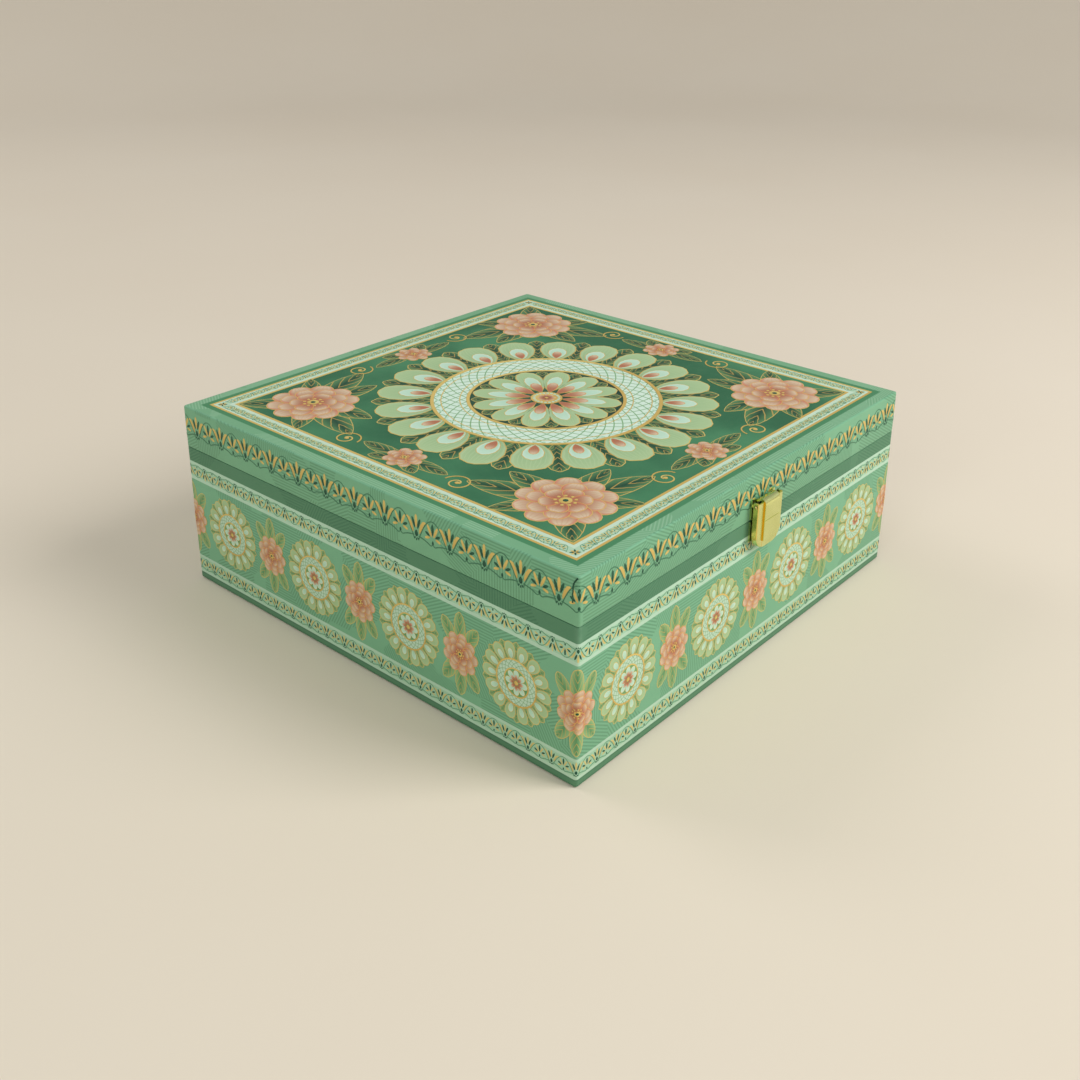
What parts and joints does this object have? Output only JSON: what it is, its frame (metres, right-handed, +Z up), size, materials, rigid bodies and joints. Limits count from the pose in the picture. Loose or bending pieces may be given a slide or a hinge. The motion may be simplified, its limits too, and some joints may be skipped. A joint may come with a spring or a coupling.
{
  "type": "sweet box",
  "caption": "Square hinged sweet box of boards wrapped in printed paper, with a shallow lid, a brass swing latch in front and a card partition inside.",
  "frame": {"origin": "centre of the underside that the box stands on", "axes": "+Z up; the front with the latch faces -Y; the hinges are at +Y; the lid turns about X"},
  "size_m": [0.254, 0.2646, 0.096],
  "materials": {
    "fibreboard": "raw",
    "printed_paper": "satin print",
    "under_paper": "satin",
    "lining_paper": "matte",
    "divider_card": "matte",
    "latch_brass": "polished",
    "hinge_brass": "polished",
    "fixing_brass": "satin",
    "spring_steel": "satin"
  },
  "bodies": {
    "base": {"base_front_board": "fibreboard", "base_back_board": "fibreboard", "base_left_board": "fibreboard", "base_right_board": "fibreboard", "base_floor_board": "fibreboard", "base_wrap": "printed_paper", "base_under_sheet": "under_paper", "base_lining": "lining_paper", "divider_long_1": "divider_card", "divider_long_2": "divider_card", "divider_cross_1": "divider_card", "divider_cross_2": "divider_card", "latch_catch": "latch_brass", "latch_catch_nails": "fixing_brass", "hinge_left_base_leaf": "hinge_brass", "hinge_right_base_leaf": "hinge_brass", "hinge_left_pin": "fixing_brass", "hinge_right_pin": "fixing_brass", "hinge_base_screws": "fixing_brass"},
    "lid": {"lid_front_board": "fibreboard", "lid_back_board": "fibreboard", "lid_left_board": "fibreboard", "lid_right_board": "fibreboard", "lid_top_board": "fibreboard", "lid_wrap": "printed_paper", "lid_lining": "lining_paper", "latch_lid_plate": "latch_brass", "latch_lid_nails": "fixing_brass", "latch_pin": "fixing_brass", "hinge_left_lid_leaf": "hinge_brass", "hinge_right_lid_leaf": "hinge_brass", "hinge_lid_screws": "fixing_brass"},
    "lever": {"latch_lever": "latch_brass", "latch_spring": "spring_steel"}
  },
  "joints": [
    {"name": "lid_hinge", "type": "hinge", "parent": "base", "child": "lid", "pos_m": [0, 0.1289, 0.0742], "axis": [-1, 0, 0], "range_deg": [0, 105]},
    {"name": "latch_swing", "type": "hinge", "parent": "lid", "child": "lever", "pos_m": [0, -0.1301, 0.082], "axis": [-1, 0, 0], "range_deg": [0, 100]}
  ]
}
